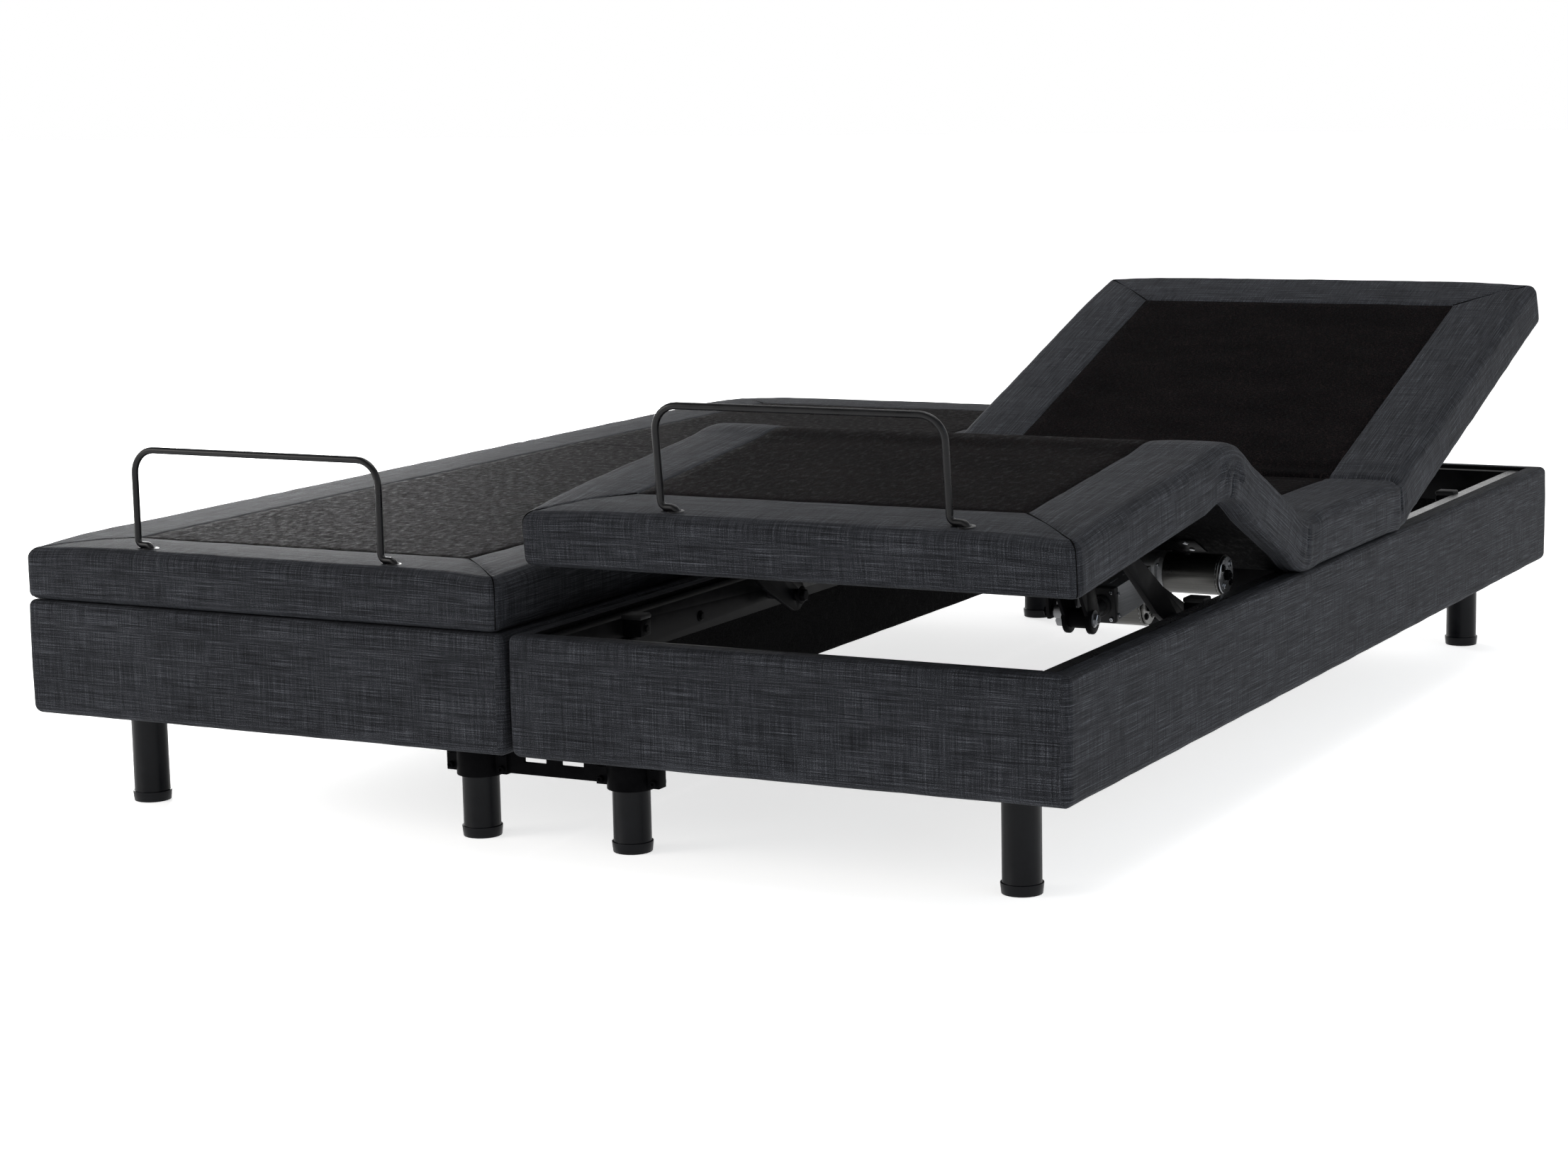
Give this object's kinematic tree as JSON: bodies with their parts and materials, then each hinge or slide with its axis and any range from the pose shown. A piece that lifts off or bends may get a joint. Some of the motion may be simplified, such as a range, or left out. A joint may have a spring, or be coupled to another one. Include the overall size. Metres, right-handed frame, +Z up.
{
  "type": "adjustable bed base",
  "caption": "Linked pair of upholstered adjustable bed bases with lifting head and knee panels, leg and head actuators, retainer bars and round legs.",
  "frame": {"origin": "on the floor at the centre of the linked pair", "axes": "+Z up, +Y towards the head end, +X across the pair towards the unit that rests raised"},
  "size_m": [1.5268, 2.03, 0.6042],
  "materials": {
    "upholstery": "charcoal slub weave",
    "frame_steel": "black powder coat",
    "leg_paint": "satin black",
    "box_plastic": "moulded black",
    "drive_body": "satin extruded profile",
    "drive_rod": "ground steel"
  },
  "bodies": {
    "base": {"foot_leg_connector": "frame_steel", "head_leg_connector": "frame_steel", "right_foot_rail": "upholstery", "right_head_rail": "upholstery", "right_side_rail_a": "upholstery", "right_side_rail_b": "upholstery", "right_frame_tube_a": "frame_steel", "right_frame_tube_b": "frame_steel", "right_foot_frame_tube": "frame_steel", "right_head_frame_tube": "frame_steel", "right_front_cross_tube": "frame_steel", "right_rear_cross_tube": "frame_steel", "right_control_box": "box_plastic", "right_foot_leg_a": "leg_paint", "right_foot_leg_b": "leg_paint", "right_head_leg_a": "leg_paint", "right_head_leg_b": "leg_paint", "right_seat_panel": "upholstery", "left_foot_rail": "upholstery", "left_head_rail": "upholstery", "left_side_rail_a": "upholstery", "left_side_rail_b": "upholstery", "left_frame_tube_a": "frame_steel", "left_frame_tube_b": "frame_steel", "left_foot_frame_tube": "frame_steel", "left_head_frame_tube": "frame_steel", "left_front_cross_tube": "frame_steel", "left_rear_cross_tube": "frame_steel", "left_control_box": "box_plastic", "left_foot_leg_a": "leg_paint", "left_foot_leg_b": "leg_paint", "left_head_leg_a": "leg_paint", "left_head_leg_b": "leg_paint", "left_seat_panel": "upholstery"},
    "right_head": {"right_head_panel": "upholstery", "right_head_lever": "frame_steel"},
    "right_thigh": {"right_thigh_panel": "upholstery", "right_thigh_clevis": "frame_steel"},
    "right_foot": {"right_foot_panel": "upholstery", "right_knee_lift_bar": "frame_steel", "right_retainer_bar": "frame_steel"},
    "right_lift_arms": {"right_lift_arm_a": "frame_steel", "right_lift_arm_b": "frame_steel"},
    "right_head_drive": {"right_head_actuator": "drive_body"},
    "right_head_rod": {"right_head_actuator_rod": "drive_rod"},
    "right_leg_drive": {"right_leg_actuator": "drive_body"},
    "right_leg_rod": {"right_leg_actuator_rod": "drive_rod"},
    "left_head": {"left_head_panel": "upholstery", "left_head_lever": "frame_steel"},
    "left_thigh": {"left_thigh_panel": "upholstery", "left_thigh_clevis": "frame_steel"},
    "left_foot": {"left_foot_panel": "upholstery", "left_knee_lift_bar": "frame_steel", "left_retainer_bar": "frame_steel"},
    "left_lift_arms": {"left_lift_arm_a": "frame_steel", "left_lift_arm_b": "frame_steel"},
    "left_head_drive": {"left_head_actuator": "drive_body"},
    "left_head_rod": {"left_head_actuator_rod": "drive_rod"},
    "left_leg_drive": {"left_leg_actuator": "drive_body"},
    "left_leg_rod": {"left_leg_actuator_rod": "drive_rod"}
  },
  "joints": [
    {"name": "right_head_hinge", "type": "hinge", "parent": "base", "child": "right_head", "pos_m": [0.3834, 0.225, 0.301], "axis": [1, 0, 0], "range_deg": [-18.3, 41.7]},
    {"name": "right_thigh_hinge", "type": "hinge", "parent": "base", "child": "right_thigh", "pos_m": [0.3834, -0.2, 0.301], "axis": [-1, 0, 0], "range_deg": [-25, 10]},
    {"name": "right_knee_hinge", "type": "hinge", "parent": "right_thigh", "child": "right_foot", "pos_m": [0.3834, -0.48549, 0.43412], "axis": [1, 0, 0], "range_deg": [-31.2, 12.6]},
    {"name": "right_lift_arm_pivot", "type": "hinge", "parent": "base", "child": "right_lift_arms", "pos_m": [0.3834, -0.422, 0.255], "axis": [-1, 0, 0], "range_deg": [-29.66, 11.98]},
    {"name": "right_leg_actuator_pivot", "type": "hinge", "parent": "right_thigh", "child": "right_leg_drive", "pos_m": [0.5854, -0.26198, 0.30011], "axis": [1, 0, 0], "range_deg": [-10.2, 4.2]},
    {"name": "right_leg_actuator_slide", "type": "slide", "parent": "right_leg_drive", "child": "right_leg_rod", "axis": [0, -0.9961, -0.0883], "range_m": [-0.032, 0.077]},
    {"name": "right_head_actuator_pivot", "type": "hinge", "parent": "base", "child": "right_head_drive", "pos_m": [0.3834, -0.15, 0.205], "axis": [1, 0, 0], "range_deg": [-0.38, 0.62]},
    {"name": "right_head_actuator_slide", "type": "slide", "parent": "right_head_drive", "child": "right_head_rod", "axis": [0, 0.9996, -0.0297], "range_m": [-0.037, 0.083]},
    {"name": "left_head_hinge", "type": "hinge", "parent": "base", "child": "left_head", "pos_m": [-0.3834, 0.225, 0.301], "axis": [1, 0, 0], "range_deg": [0, 60]},
    {"name": "left_thigh_hinge", "type": "hinge", "parent": "base", "child": "left_thigh", "pos_m": [-0.3834, -0.2, 0.301], "axis": [-1, 0, 0], "range_deg": [0, 35]},
    {"name": "left_knee_hinge", "type": "hinge", "parent": "left_thigh", "child": "left_foot", "pos_m": [-0.3834, -0.515, 0.301], "axis": [1, 0, 0], "range_deg": [0, 43.6]},
    {"name": "left_lift_arm_pivot", "type": "hinge", "parent": "base", "child": "left_lift_arms", "pos_m": [-0.3834, -0.422, 0.255], "axis": [-1, 0, 0], "range_deg": [0, 41.23]},
    {"name": "left_leg_actuator_pivot", "type": "hinge", "parent": "left_thigh", "child": "left_leg_drive", "pos_m": [-0.1814, -0.2558, 0.274], "axis": [1, 0, 0], "range_deg": [0, 14.54]},
    {"name": "left_leg_actuator_slide", "type": "slide", "parent": "left_leg_drive", "child": "left_leg_rod", "axis": [0, -0.9415, -0.3371], "range_m": [-0.104, 0]},
    {"name": "left_head_actuator_pivot", "type": "hinge", "parent": "base", "child": "left_head_drive", "pos_m": [-0.3834, -0.15, 0.205], "axis": [1, 0, 0], "range_deg": [0, 0.8]},
    {"name": "left_head_actuator_slide", "type": "slide", "parent": "left_head_drive", "child": "left_head_rod", "axis": [0, 0.9996, -0.0297], "range_m": [0, 0.117]}
  ],
  "couplings": [
    {"joint": "right_knee_hinge", "follows": "right_thigh_hinge", "ratio": 1.24},
    {"joint": "right_lift_arm_pivot", "follows": "right_thigh_hinge", "ratio": 1.1782},
    {"joint": "right_leg_actuator_pivot", "follows": "right_thigh_hinge", "ratio": 0.3999},
    {"joint": "right_leg_actuator_slide", "follows": "right_thigh_hinge", "m_per_rad": -0.1738},
    {"joint": "right_head_actuator_pivot", "follows": "right_head_hinge", "ratio": 0.01},
    {"joint": "right_head_actuator_slide", "follows": "right_head_hinge", "m_per_rad": 0.1123},
    {"joint": "left_knee_hinge", "follows": "left_thigh_hinge", "ratio": 1.24},
    {"joint": "left_lift_arm_pivot", "follows": "left_thigh_hinge", "ratio": 1.1724},
    {"joint": "left_leg_actuator_pivot", "follows": "left_thigh_hinge", "ratio": 0.4097},
    {"joint": "left_leg_actuator_slide", "follows": "left_thigh_hinge", "m_per_rad": -0.1676},
    {"joint": "left_head_actuator_pivot", "follows": "left_head_hinge", "ratio": 0.01},
    {"joint": "left_head_actuator_slide", "follows": "left_head_hinge", "m_per_rad": 0.1107}
  ]
}
